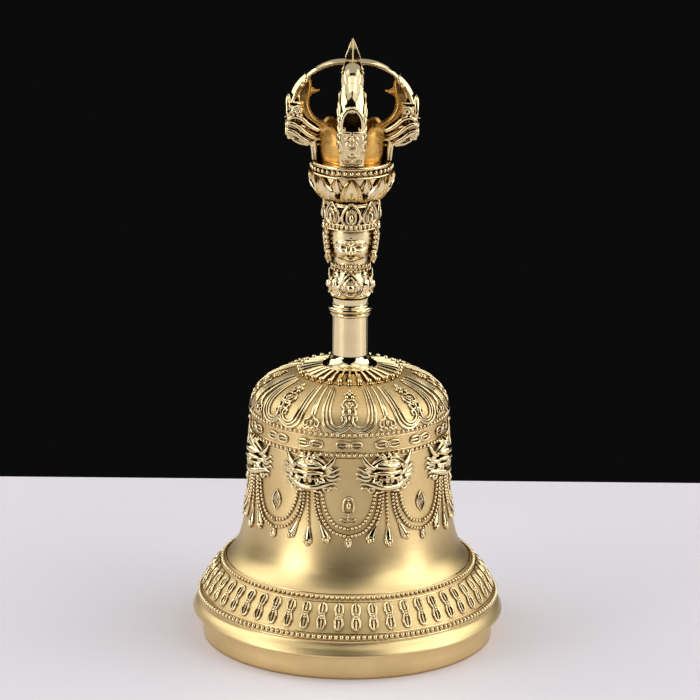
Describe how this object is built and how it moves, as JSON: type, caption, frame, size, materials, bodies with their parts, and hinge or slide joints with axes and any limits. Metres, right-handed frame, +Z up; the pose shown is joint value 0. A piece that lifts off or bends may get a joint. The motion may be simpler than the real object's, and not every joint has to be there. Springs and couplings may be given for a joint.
{
  "type": "hand bell",
  "caption": "Ritual hand bell: flared ornamented bell body, stem with a small head, pronged handle end and a clapper on a swivel eye.",
  "frame": {"origin": "centre of the resting plane of the bell's rim", "axes": "+Z up along the bell's axis to the tip of the centre prong; the face on the handle looks along -Y; +X is to the right of someone facing it"},
  "size_m": [0.092, 0.092, 0.18],
  "materials": {
    "bell_body": "satin brushed cast brass, pale champagne gold, matte ground between polished relief",
    "polished_casting": "mirror polished pale gold brass",
    "steel_hardware": "turned bright steel",
    "clapper_brass": "turned brass with a struck, slightly worn ball"
  },
  "bodies": {
    "bell": {"bell_shell": "bell_body", "stem_foot": "polished_casting", "stem_tube": "polished_casting", "stem_ring": "polished_casting", "vase_knop": "polished_casting", "goddess_head": "polished_casting", "head_crown": "polished_casting", "lotus_throne": "polished_casting", "throne_rim": "polished_casting", "prong_hub": "polished_casting", "prong_front": "polished_casting", "prong_right": "polished_casting", "prong_back": "polished_casting", "prong_left": "polished_casting", "centre_prong": "polished_casting", "tie_rod": "steel_hardware", "crown_washer": "steel_hardware", "crown_nut": "steel_hardware"},
    "hanger": {"swivel_eye": "steel_hardware"},
    "clapper": {"clapper_rod": "clapper_brass", "clapper_ball": "clapper_brass"}
  },
  "joints": [
    {"name": "hanger_swivel", "type": "hinge", "parent": "bell", "child": "hanger", "pos_m": [0, 0, 0.0722], "axis": [0, 0, 1], "continuous": true},
    {"name": "clapper_swing", "type": "hinge", "parent": "hanger", "child": "clapper", "pos_m": [0, 0, 0.0645], "axis": [0, 1, 0], "range_deg": [-32.5, 32.5]}
  ]
}
